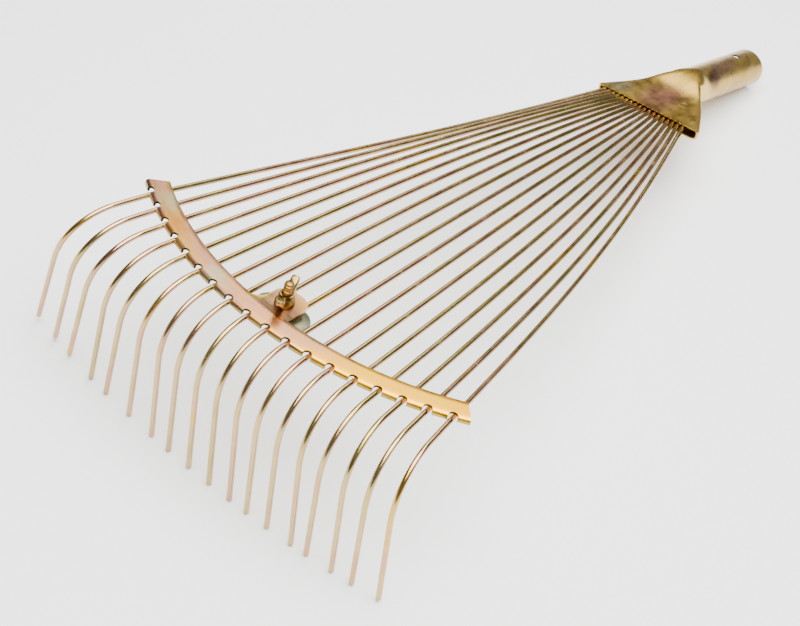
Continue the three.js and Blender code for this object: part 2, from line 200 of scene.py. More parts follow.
@dataclass(frozen=True)
class ZincFinish:
    """Yellow-passivated zinc on steel: a thin chromate film gives gold, olive, green and pink
    clouds, drawn or rolled grain stretches them, and handling leaves duller, rougher patches.
    Some patches, the notch tint and the tints round a wire are painted shade and painted reflection."""

    name: str
    ramp: tuple[tuple[float, str], ...]
    cloud_mm: float = 30.0
    stretch: tuple[float, float, float] = (1.0, 1.0, 1.0)
    rough: tuple[float, float] = (0.2, 0.38)
    grain_mm: float = 0.6
    bump: float = 0.05
    space: Space = Space.OBJECT
    # painted reflection: tints set round a wire by its around attribute, its upper and lower sides apart
    painted_reflection_ramp: tuple[tuple[float, str], ...] = ()
    painted_reflection_mix: float = 0.5
    # tint patches of the film, and a few patches of painted shade and painted reflection
    stains_and_shade: tuple[StainAndShadePatch, ...] = field(default=())
    # painted shade for the faces the notch punch leaves
    notch_shade_tint: str = ""
    marks: tuple[tuple[float, float, float], ...] = ()
    seed: float = 0.0

    def build(self) -> bpy.types.Material:
        """Builds the node material.

        Returns:
            The material, named for the metal and its process.
        """
        made = bpy.data.materials.new(self.name)
        made.use_nodes = True
        tree = made.node_tree
        shader = tree.nodes["Principled BSDF"]
        where = self._where(tree)
        clouds = self._noise(tree, where, self.cloud_mm, self.stretch, 4.0, 0.8)
        colour = self._ramp(tree, clouds, self.ramp)
        # painted reflection: the colour turns round each wire so its upper and lower sides take different
        # tints
        if self.painted_reflection_ramp:
            side = add(tree, "ShaderNodeAttribute", attribute_name="around").outputs["Fac"]
            drift = self._noise(tree, where, self.cloud_mm * 0.7, self.stretch, 2.0, 0.0)
            moved = add(tree, "ShaderNodeMath", {0: drift, 1: 0.3, 2: side}, operation="MULTIPLY_ADD")
            wrapped = add(tree, "ShaderNodeMath", {0: moved.outputs[0], 1: 0.15}, operation="SUBTRACT")
            turned = add(tree, "ShaderNodeMath", {0: wrapped.outputs[0]}, operation="FRACT")
            painted_reflection_band = self._ramp(tree, turned.outputs[0], self.painted_reflection_ramp)
            colour = self._mix(tree, self.painted_reflection_mix, colour, painted_reflection_band)
        # tint patches, some of them painted shade and painted reflection
        for stain_and_shade in self.stains_and_shade:
            colour = self._mix(tree, self._mask(tree, where, stain_and_shade), colour, to_linear(stain_and_shade.tint))
        # painted shade: the faces left by the notch punch are darkened to show the shadow inside the
        # notches
        if self.notch_shade_tint:
            cut = add(tree, "ShaderNodeAttribute", attribute_name="cut").outputs["Fac"]
            colour = self._mix(tree, cut, colour, to_linear(self.notch_shade_tint))
        fine = self._noise(tree, where, self.cloud_mm * 0.22, self.stretch, 5.0, 0.3)
        wear = add(
            tree,
            "ShaderNodeMapRange",
            {"Value": fine, "From Min": 0.32, "From Max": 0.7, "To Min": 0.9, "To Max": 1.08},
        )
        worn = add(
            tree,
            "ShaderNodeHueSaturation",
            {"Value": wear.outputs[0], "Saturation": 1.0, "Color": colour},
        )
        tree.links.new(worn.outputs[0], shader.inputs["Base Color"])
        rough = add(
            tree,
            "ShaderNodeMapRange",
            {
                "Value": fine,
                "From Min": 0.3,
                "From Max": 0.7,
                "To Min": self.rough[0],
                "To Max": self.rough[1],
            },
        )
        tree.links.new(rough.outputs[0], shader.inputs["Roughness"])
        grain = self._noise(tree, where, self.grain_mm, self.stretch, 3.0, 0.0)
        bump = add(
            tree,
            "ShaderNodeBump",
            {"Height": grain, "Strength": self.bump, "Distance": 0.2 * MM},
        )
        for mark in self.marks:
            bump = add(
                tree,
                "ShaderNodeBump",
                {
                    "Height": self._weld(tree, where, mark),
                    "Strength": 0.6,
                    "Distance": 0.25 * MM,
                    "Normal": bump.outputs[0],
                },
            )
        tree.links.new(bump.outputs[0], shader.inputs["Normal"])
        shader.inputs["Metallic"].default_value = 1.0
        return made

    def _where(self, tree: bpy.types.NodeTree) -> bpy.types.NodeSocket:
        """Gives the place a pattern is read at.

        Args:
            tree: the node tree.

        Returns:
            The place in fan millimetres, or along and behind the front edge.
        """
        if self.space is Space.ALONG:
            source = add(tree, "ShaderNodeAttribute", attribute_name="sheet_mm").outputs["Vector"]
            shift = add(tree, "ShaderNodeVectorMath", {0: source, 1: (self.seed, 0, 0)})
            return shift.outputs[0]
        coords = add(tree, "ShaderNodeTexCoord").outputs["Object"]
        moved = add(
            tree,
            "ShaderNodeMapping",
            {"Vector": coords, "Location": [-c for c in REST_AT], "Scale": (1 / MM, 1 / MM, 1 / MM)},
        )
        level = add(tree, "ShaderNodeMapping", {"Vector": moved.outputs[0], "Rotation": (0, REST_PITCH, 0)})
        return level.outputs[0]

    def _noise(
        self,
        tree: bpy.types.NodeTree,
        where: bpy.types.NodeSocket,
        size_mm: float,
        stretch: tuple[float, float, float],
        detail: float,
        distortion: float,
    ) -> bpy.types.NodeSocket:
        """Adds noise.

        Args:
            tree: the node tree.
            where: the place it reads, in millimetres.
            size_mm: how wide its features are.
            stretch: how far they are pulled out along each axis.
            detail: its octaves.
            distortion: how much it is warped.

        Returns:
            The noise from 0 to 1.
        """
        scale = tuple(1 / (size_mm * s) for s in stretch)
        moved = add(
            tree,
            "ShaderNodeMapping",
            {"Vector": where, "Scale": scale, "Location": (self.seed, self.seed * 0.37, 0)},
        )
        made = add(
            tree,
            "ShaderNodeTexNoise",
            {
                "Vector": moved.outputs[0],
                "Scale": 1.0,
                "Detail": detail,
                "Roughness": 0.55,
                "Distortion": distortion,
            },
        )
        return made.outputs["Fac"]

    def _ramp(
        self,
        tree: bpy.types.NodeTree,
        factor: bpy.types.NodeSocket,
        stops: Sequence[tuple[float, str]],
    ) -> bpy.types.NodeSocket:
        """Adds a colour ramp.

        Args:
            tree: the node tree.
            factor: what the ramp reads.
            stops: places from 0 to 1 with their hex codes, in rising order.

        Returns:
            The ramp's colour.
        """
        made = add(tree, "ShaderNodeValToRGB", {"Fac": factor})
        made.color_ramp.interpolation = "EASE"
        cells = made.color_ramp.elements
        while len(cells) < len(stops):
            cells.new(0.5)
        for cell, (at, _) in zip(cells, stops):
            cell.position = at
        for cell, (_, code) in zip(cells, stops):
            cell.color = to_linear(code)
        return made.outputs["Color"]

    def _mix(
        self, tree: bpy.types.NodeTree, factor: object, first: object, second: object
    ) -> bpy.types.NodeSocket:
        """Mixes two colours, each a socket or a value."""
        made = add(tree, "ShaderNodeMix", {0: factor, 6: first, 7: second}, data_type="RGBA")
        return made.outputs[2]

    def _weld(
        self,
        tree: bpy.types.NodeTree,
        where: bpy.types.NodeSocket,
        centre: tuple[float, float, float],
    ) -> bpy.types.NodeSocket:
        """Gives the round mark a spot weld leaves.

        Args:
            tree: the node tree.
            where: the place in fan millimetres.
            centre: the middle of the mark.

        Returns:
            Its height from 0 to 1, a ring of WELD_RADIUS.
        """
        away = add(tree, "ShaderNodeVectorMath", {0: where, 1: centre}, operation="DISTANCE")
        ring = add(tree, "ShaderNodeMath", {0: away.outputs["Value"], 1: WELD_RADIUS}, operation="SUBTRACT")
        width = add(tree, "ShaderNodeMath", {0: ring.outputs[0]}, operation="ABSOLUTE")
        rise = add(
            tree,
            "ShaderNodeMapRange",
            {"Value": width.outputs[0], "From Min": 1.3, "From Max": 0.2},
        )
        return rise.outputs[0]

    def _mask(
        self, tree: bpy.types.NodeTree, where: bpy.types.NodeSocket, stain_and_shade: StainAndShadePatch
    ) -> bpy.types.NodeSocket:
        """Gives a ragged soft mask.

        Args:
            tree: the node tree.
            where: the place in fan millimetres.
            stain_and_shade: the patch to mask.

        Returns:
            The patch's strength at each place.
        """
        x, y, z = stain_and_shade.centre
        a, b, c = stain_and_shade.size
        local = add(
            tree,
            "ShaderNodeMapping",
            {"Vector": where, "Scale": (1 / a, 1 / b, 1 / c), "Location": (-x / a, -y / b, -z / c)},
        )
        far = add(tree, "ShaderNodeVectorMath", {0: local.outputs[0]}, operation="LENGTH")
        ragged = self._noise(tree, where, min(stain_and_shade.size) * 1.2, (1, 1, 1), 3.0, 0.5)
        edge = add(
            tree,
            "ShaderNodeMath",
            {0: ragged, 1: 1.1, 2: far.outputs["Value"]},
            operation="MULTIPLY_ADD",
        )
        mask = add(
            tree,
            "ShaderNodeMapRange",
            {"Value": edge.outputs[0], "From Min": 1.75, "From Max": 0.7, "To Max": stain_and_shade.strength},
            interpolation_type="SMOOTHSTEP",
        )
        return mask.outputs[0]


HEAD_FINISH = ZincFinish(
    name="yellow_passivated_rolled_sheet",
    ramp=((0.30, "ac8a34"), (0.42, "cca448"), (0.52, "dcb454"), (0.60, "d0a844"), (0.70, "b8a850")),
    cloud_mm=34,
    stretch=(1.4, 1.0, 1.0),
    rough=(0.24, 0.38),
    stains_and_shade=(
        StainAndShadePatch((-24, 2, 3), (30, 18, 12), "c88470", 0.8),
        StainAndShadePatch((-10, -28, 3), (16, 12, 10), "9db09a", 0.5),
        StainAndShadePatch((-108, 5, 8), (24, 9, 16), "b98080", 0.6),
        # painted shade: a dark brown patch where the neck's ramp turns away from the light
        StainAndShadePatch((-86, 12, 4), (12, 9, 14), "5a3a30", 0.8),
        StainAndShadePatch((-146, -2, 2), (26, 7, 14), "8a6830", 0.6),
        StainAndShadePatch((-124, 14, -13), (62, 12, 14), "a07c1c", 0.9),
    ),
    marks=((-26.6, 18.7, 5.2),),
    seed=3.0,
)
WIRE_FINISH = ZincFinish(
    name="yellow_passivated_drawn_wire",
    ramp=(
        (0.28, "8a8c50"),
        (0.40, "aaa05c"),
        (0.50, "bca674"),
        (0.58, "bc9078"),
        (0.66, "d0a840"),
        (0.76, "94a258"),
    ),
    cloud_mm=26,
    stretch=(4.0, 1.0, 1.0),
    rough=(0.16, 0.30),
    space=Space.ALONG,
    # painted reflection: the tints round each wire, upper side against lower
    painted_reflection_ramp=((0.0, "c4b07a"), (0.25, "aab08a"), (0.5, "c09484"), (0.75, "d0a860"), (1.0, "c4b07a")),
    painted_reflection_mix=0.4,
    seed=11.0,
)
BAR_FINISH = ZincFinish(
    name="yellow_passivated_stamped_strip",
    ramp=(
        (0.30, "a8866a"),
        (0.40, "c08c70"),
        (0.50, "cc9466"),
        (0.60, "d09c48"),
        (0.72, "aa9e72"),
    ),
    cloud_mm=9,
    stretch=(7.0, 1.0, 1.0),
    rough=(0.24, 0.40),
    space=Space.ALONG,
    stains_and_shade=(
        StainAndShadePatch((118, 5, 0), (130, 24, 40), "f2b000", 1.0),
        StainAndShadePatch((-92, 7, 0), (22, 7, 20), "d08428", 0.85),
        StainAndShadePatch((-108, 10, 0), (16, 8, 20), "b4bc8c", 0.6),
        StainAndShadePatch((-36, 7, 0), (14, 7, 20), "b0bc90", 0.6),
        StainAndShadePatch((10, 8, 0), (45, 6, 20), "c88878", 0.6),
        StainAndShadePatch((-12, 20, 0), (10, 9, 20), "d8c048", 0.8),
        StainAndShadePatch((4, 34, 0), (14, 9, 20), "c89058", 0.7),
        # painted reflection: a dark olive band along the lip's lower edge, the darker surroundings below
        # mirrored in it
        StainAndShadePatch((0, 0, 0.9), (1200, 5, 2.4), "8e8a4c", 0.9),
    ),
    # painted shade inside the notches
    notch_shade_tint="332e1a",
    seed=5.0,
)
# plain zinc grey-green, partly the plate's own colour and partly painted shade, made darker as it lies in
# shadow under the wires and bar
CLAMP_FINISH = ZincFinish(
    name="zinc_plated_plate_painted_darker",
    ramp=((0.35, "74765e"), (0.48, "868468"), (0.6, "8c886c"), (0.7, "787c66")),
    cloud_mm=10,
    rough=(0.28, 0.46),
    seed=7.0,
)
BOLT_FINISH = ZincFinish(
    name="yellow_passivated_rolled_thread",
    ramp=((0.35, "84602c"), (0.5, "a47c3c"), (0.62, "b48a46"), (0.72, "8c703c")),
    cloud_mm=5,
    rough=(0.24, 0.40),
    seed=13.0,
)
NUT_FINISH = ZincFinish(
    name="yellow_passivated_pressed_wing_nut",
    ramp=((0.32, "6a5028"), (0.46, "8a7038"), (0.58, "a08650"), (0.70, "7c7040")),
    cloud_mm=7,
    rough=(0.16, 0.30),
    seed=17.0,
)


# ---- node trees that make what repeats or follows a path -----------------------------------


@dataclass
class Tree:
    """A geometry node tree with named inputs, and the sockets' identifiers."""

    name: str
    inputs: dict[str, tuple[str, object]]

    def __post_init__(self) -> None:
        """Opens the tree and declares its interface."""
        self.tree = bpy.data.node_groups.new(self.name, "GeometryNodeTree")
        face = self.tree.interface
        face.new_socket("Geometry", in_out="INPUT", socket_type="NodeSocketGeometry")
        face.new_socket("Geometry", in_out="OUTPUT", socket_type="NodeSocketGeometry")
        self.ids: dict[str, str] = {}
        for label, (kind, default) in self.inputs.items():
            made = face.new_socket(label, in_out="INPUT", socket_type=kind)
            if default is not None:
                made.default_value = default
            self.ids[label] = made.identifier
        self.start = self.tree.nodes.new("NodeGroupInput")

    def close(self, geometry: bpy.types.NodeSocket) -> None:
        """Realizes the instances, sets the material and wires the output.

        Args:
            geometry: the finished geometry.
        """
        real = add(self.tree, "GeometryNodeRealizeInstances", {0: geometry})
        dressed = add(
            self.tree,
            "GeometryNodeSetMaterial",
            {"Geometry": real.outputs[0], "Material": self.start.outputs["Material"]},
        )
        add(self.tree, "NodeGroupOutput", {0: dressed.outputs[0]})

    def run(self, base: bpy.types.Object, name: str, **values) -> bpy.types.Object:
        """Runs the tree on an object and keeps the result as a plain mesh.

        Args:
            base: the object the tree works on, removed afterwards.
            name: the new piece's name.
            **values: the tree's inputs by label, with spaces as underscores.

        Returns:
            The new object, at the origin and with no modifier.
        """
        modifier = base.modifiers.new("nodes", "NODES")
        modifier.node_group = self.tree
        for label, value in values.items():
            modifier[self.ids[label.replace("_", " ")]] = value
        base.update_tag()
        graph = bpy.context.evaluated_depsgraph_get()
        mesh = bpy.data.meshes.new_from_object(base.evaluated_get(graph), depsgraph=graph)
        mesh.name = name
        bpy.data.objects.remove(base)
        made = bpy.data.objects.new(name, mesh)
        bpy.context.scene.collection.objects.link(made)
        return made


def sweep_tree() -> Tree:
    """A round wire swept along a line of points, tapered by their taper attribute.

    Returns:
        The tree, whose mesh carries sheet_mm and around for the finish.
    """
    made = Tree(
        "round_wire_sweep",
        {
            "Radius": ("NodeSocketFloat", 0.00175),
            "Sides": ("NodeSocketInt", 20),
            "Start": ("NodeSocketFloat", 0.0),
            "Material": ("NodeSocketMaterial", None),
        },
    )
    tree, start = made.tree, made.start.outputs
    rail = add(tree, "GeometryNodeMeshToCurve", {"Mesh": start["Geometry"]})
    length = add(tree, "GeometryNodeSplineParameter").outputs["Length"]
    run = add(tree, "ShaderNodeMath", {0: length, 1: 1 / MM, 2: start["Start"]}, operation="MULTIPLY_ADD")
    vector = add(tree, "ShaderNodeCombineXYZ", {"X": run.outputs[0]})
    marked = add(
        tree,
        "GeometryNodeStoreNamedAttribute",
        {"Geometry": rail.outputs[0], "Name": "sheet_mm", "Value": vector.outputs[0]},
        data_type="FLOAT_VECTOR",
    )
    ring = add(
        tree,
        "GeometryNodeCurvePrimitiveCircle",
        {"Resolution": start["Sides"], "Radius": start["Radius"]},
    )
    turn = add(tree, "GeometryNodeSplineParameter").outputs["Factor"]
    profile = add(
        tree,
        "GeometryNodeStoreNamedAttribute",
        {"Geometry": ring.outputs[0], "Name": "around", "Value": turn},
        data_type="FLOAT",
    )
    taper = add(tree, "GeometryNodeInputNamedAttribute", {"Name": "taper"}, data_type="FLOAT")
    skin = add(
        tree,
        "GeometryNodeCurveToMesh",
        {
            "Curve": marked.outputs[0],
            "Profile Curve": profile.outputs[0],
            "Scale": taper.outputs[0],
            "Fill Caps": True,
        },
    )
    soft = add(tree, "GeometryNodeSetShadeSmooth", {"Geometry": skin.outputs[0]})
    made.close(soft.outputs[0])
    return made


def punch_tree() -> Tree:
    """A row of notches cut along an arc by copies of one punch.

    Returns:
        The tree; the punch stands at the arc's first radius on the x axis.
    """
    made = Tree(
        "notch_row_punch",
        {
            "Count": ("NodeSocketInt", 18),
            "Pitch": ("NodeSocketFloat", 0.0656),
            "Punch": ("NodeSocketObject", None),
            "Tab": ("NodeSocketObject", None),
            "Hole": ("NodeSocketObject", None),
            "Material": ("NodeSocketMaterial", None),
        },
    )
    tree, start = made.tree, made.start.outputs
    punch, tab, hole = (
        add(tree, "GeometryNodeObjectInfo", {"Object": start[label]}).outputs["Geometry"]
        for label in ("Punch", "Tab", "Hole")
    )
    points = add(tree, "GeometryNodeMeshLine", {"Count": start["Count"], "Offset": (0, 0, 0)})
    index = add(tree, "GeometryNodeInputIndex").outputs[0]
    last = add(tree, "ShaderNodeMath", {0: start["Count"], 1: 1.0}, operation="SUBTRACT")
    middle = add(tree, "ShaderNodeMath", {0: last.outputs[0], 1: 0.5}, operation="MULTIPLY")
    step = add(tree, "ShaderNodeMath", {0: index, 1: middle.outputs[0]}, operation="SUBTRACT")
    angle = add(tree, "ShaderNodeMath", {0: step.outputs[0], 1: start["Pitch"]}, operation="MULTIPLY")
    turn = add(tree, "ShaderNodeCombineXYZ", {"Z": angle.outputs[0]})
    row = add(
        tree,
        "GeometryNodeInstanceOnPoints",
        {"Points": points.outputs[0], "Instance": punch, "Rotation": turn.outputs[0]},
    )
    realized = add(tree, "GeometryNodeRealizeInstances", {0: row.outputs[0]})
    # marks the notch walls, which the bar's finish darkens as painted shade
    cutters = add(
        tree,
        "GeometryNodeStoreNamedAttribute",
        {"Geometry": realized.outputs[0], "Name": "cut", "Value": 1.0},
        data_type="FLOAT",
        domain="FACE",
    )
    whole = add(
        tree,
        "GeometryNodeMeshBoolean",
        {"Mesh 2": start["Geometry"]},
        operation="UNION",
        solver="EXACT",
    )
    tree.links.new(tab, whole.inputs["Mesh 2"])
    cut = whole.outputs[0]
    for cutter in (cutters.outputs[0], hole):
        step_cut = add(
            tree,
            "GeometryNodeMeshBoolean",
            {"Mesh 1": cut, "Mesh 2": cutter},
            operation="DIFFERENCE",
            solver="EXACT",
        )
        cut = step_cut.outputs[0]
    made.close(cut)
    return made


def thread_tree() -> Tree:
    """A screw thread: a sharp ridge wound up a shank.

    Returns:
        The tree, which joins the ridge to the shank it is run on.
    """
    made = Tree(
        "rolled_thread",
        {
            "Turns": ("NodeSocketFloat", 16.0),
            "Radius": ("NodeSocketFloat", 0.00265),
            "Height": ("NodeSocketFloat", 0.016),
            "Ridge": ("NodeSocketFloat", 0.00055),
            "Base": ("NodeSocketVector", (0, 0, 0)),
            "Material": ("NodeSocketMaterial", None),
        },
    )
    tree, start = made.tree, made.start.outputs
    helix = add(
        tree,
        "GeometryNodeCurveSpiral",
        {
            "Resolution": 28,
            "Rotations": start["Turns"],
            "Start Radius": start["Radius"],
            "End Radius": start["Radius"],
            "Height": start["Height"],
        },
    )
    ridge = add(
        tree,
        "GeometryNodeCurvePrimitiveCircle",
        {"Resolution": 4, "Radius": start["Ridge"]},
    )
    wound = add(
        tree,
        "GeometryNodeCurveToMesh",
        {"Curve": helix.outputs[0], "Profile Curve": ridge.outputs[0], "Fill Caps": True},
    )
    raised = add(
        tree,
        "GeometryNodeTransform",
        {"Geometry": wound.outputs[0], "Translation": start["Base"]},
    )
    both = add(tree, "GeometryNodeJoinGeometry", {0: start["Geometry"]})
    tree.links.new(raised.outputs[0], both.inputs[0])
    made.close(both.outputs[0])
    return made


# ---- the rake -----------------------------------------------------------------------------


@dataclass
class Assembly:
    """What every sub-assembly shares: its body, and how a finished piece joins the frame."""

    body: str

    def settle(self, obj: bpy.types.Object, slot: Slot, nodes: Sequence[str], body: str = "") -> None:
        """Seats a finished piece in the frame.

        Args:
            obj: the piece, already in the row frame.
            slot: the record's material slot; not used.
            nodes: the CAD nodes it stands for.
            body: the CAD body, if it isn't the assembly's own.
        """
        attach(obj, body or self.body)
        if nodes:
            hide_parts(*nodes)
        log.info("%s: %d faces", obj.name, len(obj.data.polygons))


@dataclass
class SocketHead(Assembly):
    """The rolled ferrule: flattened mouth, triangular pan and round socket."""

    half: float = 44.8
    mouth_half: float = 43.2
    shift: float = 3.7
    slant: float = 5.0
    pan: float = 60.0
    neck: float = 78.0
    end: float = 169.0
    tube: float = 29.0
    wall: float = 1.2
    neck_drop: float = 5.5
    end_drop: float = 17.6
    top: float = 3.25
    belly: float = 7.0
    screw: float = 5.5
    screw_back: float = 28.0
    sides: int = 128

    def section(self, back: float) -> dict[str, float]:
        """Gives the sizes of the skin.

        Args:
            back: distance behind the mouth.

        Returns:
            Half width, heights, squareness and offsets, in millimetres.
        """
        neck = smooth(back, self.pan * 0.6, self.neck)
        belly = smooth(back, 0, self.neck)
        along = min(back / self.pan, 1.0)
        pan = self.half + (self.tube / 2 - self.half) * along
        corner = max(0.0, 4.0 - back) / 4.0
        half = pan - (self.half - self.mouth_half) * (1 - math.sqrt(1 - corner * corner))
        fall = (self.end_drop - self.neck_drop) * (back - self.neck) / (self.end - self.neck)
        axis = -self.neck_drop - fall
        round_ = self.tube / 2
        return {
            "half": max(half, round_),
            "top": self.top + (axis + round_ - self.top) * neck,
            "bottom": -self.belly + (axis - round_ + self.belly) * belly,
            "middle": axis * neck,
            "square": 10 - 8 * neck,
            "belly": 4 - 2 * belly,
            "shift": self.shift * (1 - smooth(back, self.pan / 3, self.pan)),
            "slant": self.slant * (1 - smooth(back, 0, self.pan / 3)),
        }

    def ring(self, back: float, inset: float) -> list[tuple[float, float, float]]:
        """Gives one closed ring of the skin.

        Args:
            back: distance behind the mouth.
            inset: how far the ring is drawn in.

        Returns:
            Its points in the head's own frame.
        """
        s = self.section(back)
        ring = []
        for j in range(self.sides):
            a = 2 * math.pi * j / self.sides
            c, d = math.cos(a), math.sin(a)
            power = 2 / (s["square"] if d >= 0 else s["belly"])
            up = s["top"] - inset - s["middle"] if d >= 0 else s["middle"] - s["bottom"] - inset
            y = (s["half"] - inset) * math.copysign(abs(c) ** power, c)
            z = s["middle"] + up * math.copysign(abs(d) ** power, d)
            low = (s["top"] - z) / (s["top"] - s["bottom"]) * (1 - 0.8 * (y / s["half"]) ** 2)
            ring.append((-back - s["slant"] * low, y + s["shift"], z))
        return ring

    def stations(self) -> list[tuple[float, float]]:
        """Lists where the rings stand.

        Returns:
            Distances behind the mouth with insets, out along the skin and back inside it.
        """
        steps = [0.35, 0.8, 1.6, 2.6, 3.8, 5, 6.5, 9, 13, 18, 24, 30, 36, 41, 44]
        steps += [46 + 1.5 * i for i in range(23)] + [84, 92, 104, 120, 136, 152, 162, 167]
        steps += [self.end - 0.4]
        outer = [(0.05, 0.35)] + [(b, 0.0) for b in steps] + [(self.end - 0.05, 0.3)]
        inner = [(self.end, self.wall * 0.6)] + [(b, self.wall) for b in reversed(steps)]
        inner += [(0.0, self.wall * 0.7)]
        return outer + inner

    def build(self, finish: bpy.types.Material) -> None:
        """Builds the skin, drills it and seats it.

        Args:
            finish: the sheet's material.
        """
        rings = [self.ring(b, i) for b, i in self.stations()]
        n = self.sides
        verts = placed([p for ring in rings for p in ring], HEAD_ROLL)
        faces = []
        for i in range(len(rings)):
            a, b = i * n, (i + 1) % len(rings) * n
            faces += [(a + j, b + j, b + (j + 1) % n, a + (j + 1) % n) for j in range(n)]
        skin = mesh_object("socket_head_skin", verts, faces)
        drill = self._drill()
        cut = skin.modifiers.new("screw_hole", "BOOLEAN")
        cut.object = drill
        cut.operation = "DIFFERENCE"
        cut.solver = "EXACT"
        graph = bpy.context.evaluated_depsgraph_get()
        mesh = bpy.data.meshes.new_from_object(skin.evaluated_get(graph), depsgraph=graph)
        skin.modifiers.clear()
        skin.data = mesh
        mesh.name = "socket_head_skin"
        bpy.data.objects.remove(drill)
        clean(skin, 38.0)
        skin.data.materials.clear()
        skin.data.materials.append(finish)
        self.settle(skin, Slot.HEAD, ["socket_head"])

    def _drill(self) -> bpy.types.Object:
        """Makes the cylinder that opens the screw hole through both walls.

        Returns:
            The cutter.
        """
        x, r = -(self.end - self.screw_back), self.screw / 2
        sides = 40
        turns = [2 * math.pi * j / sides for j in range(sides)]
        circle = [(r * math.cos(a), r * math.sin(a)) for a in turns]
        points = [(x + a, b, z) for z in (-60.0, 25.0) for a, b in circle]
        faces = [tuple(reversed(range(sides))), tuple(range(sides, 2 * sides))]
        faces += [(j, (j + 1) % sides, sides + (j + 1) % sides, sides + j) for j in range(sides)]
        return mesh_object("screw_drill", placed(points, HEAD_ROLL), faces)


@dataclass
class TineFan(Assembly):
    """The wires: spread from the head, held by the bar and hooked at the tips."""

    count: int = 18
    wire: float = 3.5
    bar_x: float = 426.0
    bar_r: float = 228.0
    pitch_deg: float = 3.757
    root_depth: float = 7.0
    root_pitch: float = 4.05
    bow: float = 15.8
    bow_fade: float = 0.56
    bow_skew: float = -0.226
    arch: float = 4.0
    arch_fade: float = 13.0
    arch_skew: float = -0.4
    stub: float = 2.7
    bend_r: float = 31.0
    bend_deg: float = 80.8
    ease_r: float = 47.0
    ease_deg: float = 16.0
    tip: float = 66.0
    tip_fade: float = 3.0
    twist_deg: float = 8.4
    lean_deg: float = 2.5
    lean_fade_deg: float = 8.0
    set_deg: dict[int, float] = field(
        default_factory=lambda: {3: -2, 5: -2, 7: 1.5, 12: -1.5, 13: -1.5, 15: -2, 18: 2.5}
    )

    def rule(self, k: float) -> dict[str, float]:
        """Gives the lengths and slopes that fix one tine.

        Args:
            k: its place counted from the middle of the fan.

        Returns:
            Its notch, root, bow, arch, length and end slopes.
        """
        edge = k / (self.count / 2 - 0.5)
        turn = math.radians(k * self.pitch_deg)
        nx = self.bar_x - self.bar_r * (1 - math.cos(turn))
        ny = self.bar_r * math.sin(turn)
        ry = k * self.root_pitch * math.cos(HEAD_ROLL_ANGLE)
        rz = k * self.root_pitch * math.sin(HEAD_ROLL_ANGLE)
        bow = self.bow * edge * (1 - self.bow_fade * edge * edge)
        return {
            "edge": edge,
            "nx": nx,
            "ny": ny,
            "ry": ry,
            "rz": rz,
            "bow": bow,
            "arch": self.arch - self.arch_fade * edge * edge,
            "length": math.hypot(nx, ny - ry),
            "start": (ny - ry + bow * 4 * (1 - self.bow_skew)) / nx,
            "end": (ny - ry - bow * 4 * (1 + self.bow_skew)) / nx,
        }

    def line(self, number: int) -> list[Vector]:
        """Gives the centre line of one tine.

        Args:
            number: its number from 1.

        Returns:
            Points in fan millimetres from the root to the tip.
        """
        k = number - self.count / 2 - 0.5
        r = self.rule(k)
        longest = max(self.rule(i - self.count / 2 + 0.5)["length"] for i in range(self.count))
        settle = r["start"] * self.root_depth / 3
        points = []
        for i in range(5):
            s = 1 - i / 5
            points.append(Vector((-self.root_depth * s, r["ry"] - settle * (1 - (1 - s) ** 3), r["rz"])))
        for i in range(37):
            t = i / 36
            swell = 4 * t * (1 - t)
            aside = r["bow"] * swell * (1 + self.bow_skew * (2 * t - 1))
            above = r["arch"] * swell * (1 + self.arch_skew * (2 * t - 1))
            y = r["ry"] + (r["ny"] - r["ry"]) * t + aside
            points.append(Vector((r["nx"] * t, y, r["rz"] * (1 - t) + above)))
        ahead = Vector((1, r["end"])).normalized()
        edge = r["edge"]
        lean_deg = self.twist_deg * edge + self.lean_deg - self.lean_fade_deg * edge * edge
        lean = math.radians(lean_deg + self.set_deg.get(number, 0))
        stub = self.stub + longest - r["length"]
        for reach, depth in self.hook(edge):
            side = depth * math.sin(lean)
            points.append(
                Vector(
                    (
                        r["nx"] + ahead.x * (stub + reach) - ahead.y * side,
                        r["ny"] + ahead.y * (stub + reach) + ahead.x * side,
                        -depth * math.cos(lean),
                    )
                )
            )
        return points

    def hook(self, edge: float) -> list[tuple[float, float]]:
        """Gives the shape of a hook.

        Args:
            edge: the tine's place across the fan, -1 to 1.

        Returns:
            Reach and depth from the end of the straight to the tip.
        """
        bend, full = math.radians(self.bend_deg), math.radians(self.bend_deg + self.ease_deg)
        made = []
        for i in range(25):
            a = bend * i / 24
            made.append((self.bend_r * math.sin(a), self.bend_r * (1 - math.cos(a))))
        x, z = made[-1]
        for i in range(1, 7):
            a = bend + (full - bend) * i / 6
            ahead = self.ease_r * (math.sin(a) - math.sin(bend))
            down = self.ease_r * (math.cos(bend) - math.cos(a))
            made.append((x + ahead, z + down))
        x, z = made[-1]
        tip = self.tip + self.tip_fade / 3 - self.tip_fade * edge * edge
        for part in (0.25, 0.5, 0.75, 1 - 0.7 / tip, 1 - 0.35 / tip, 1 - 0.1 / tip, 1.0):
            made.append((x + tip * part * math.cos(full), z + tip * part * math.sin(full)))
        return made

    def build(self, sweep: Tree, finish: bpy.types.Material) -> None:
        """Builds and seats every tine.

        Args:
            sweep: the tree that sweeps a wire.
            finish: the wire's material.
        """
        for number in range(1, self.count + 1):
            name = f"tine_{number:02d}"
            points = placed(self.line(number))
            rail = mesh_object(name + "_rail", points, edges=[(i, i + 1) for i in range(len(points) - 1)])
            taper = rail.data.attributes.new("taper", "FLOAT", "POINT")
            taper.data.foreach_set("value", [1.0] * (len(points) - 3) + [0.97, 0.88, 0.7])
            wire = sweep.run(
                rail,
                name + "_wire",
                Radius=self.wire / 2 * MM,
                Sides=20,
                Start=float(number * 731),
                Material=finish,
            )
            clean(wire, 60.0)
            self.settle(wire, Slot.WIRE, [name], name)


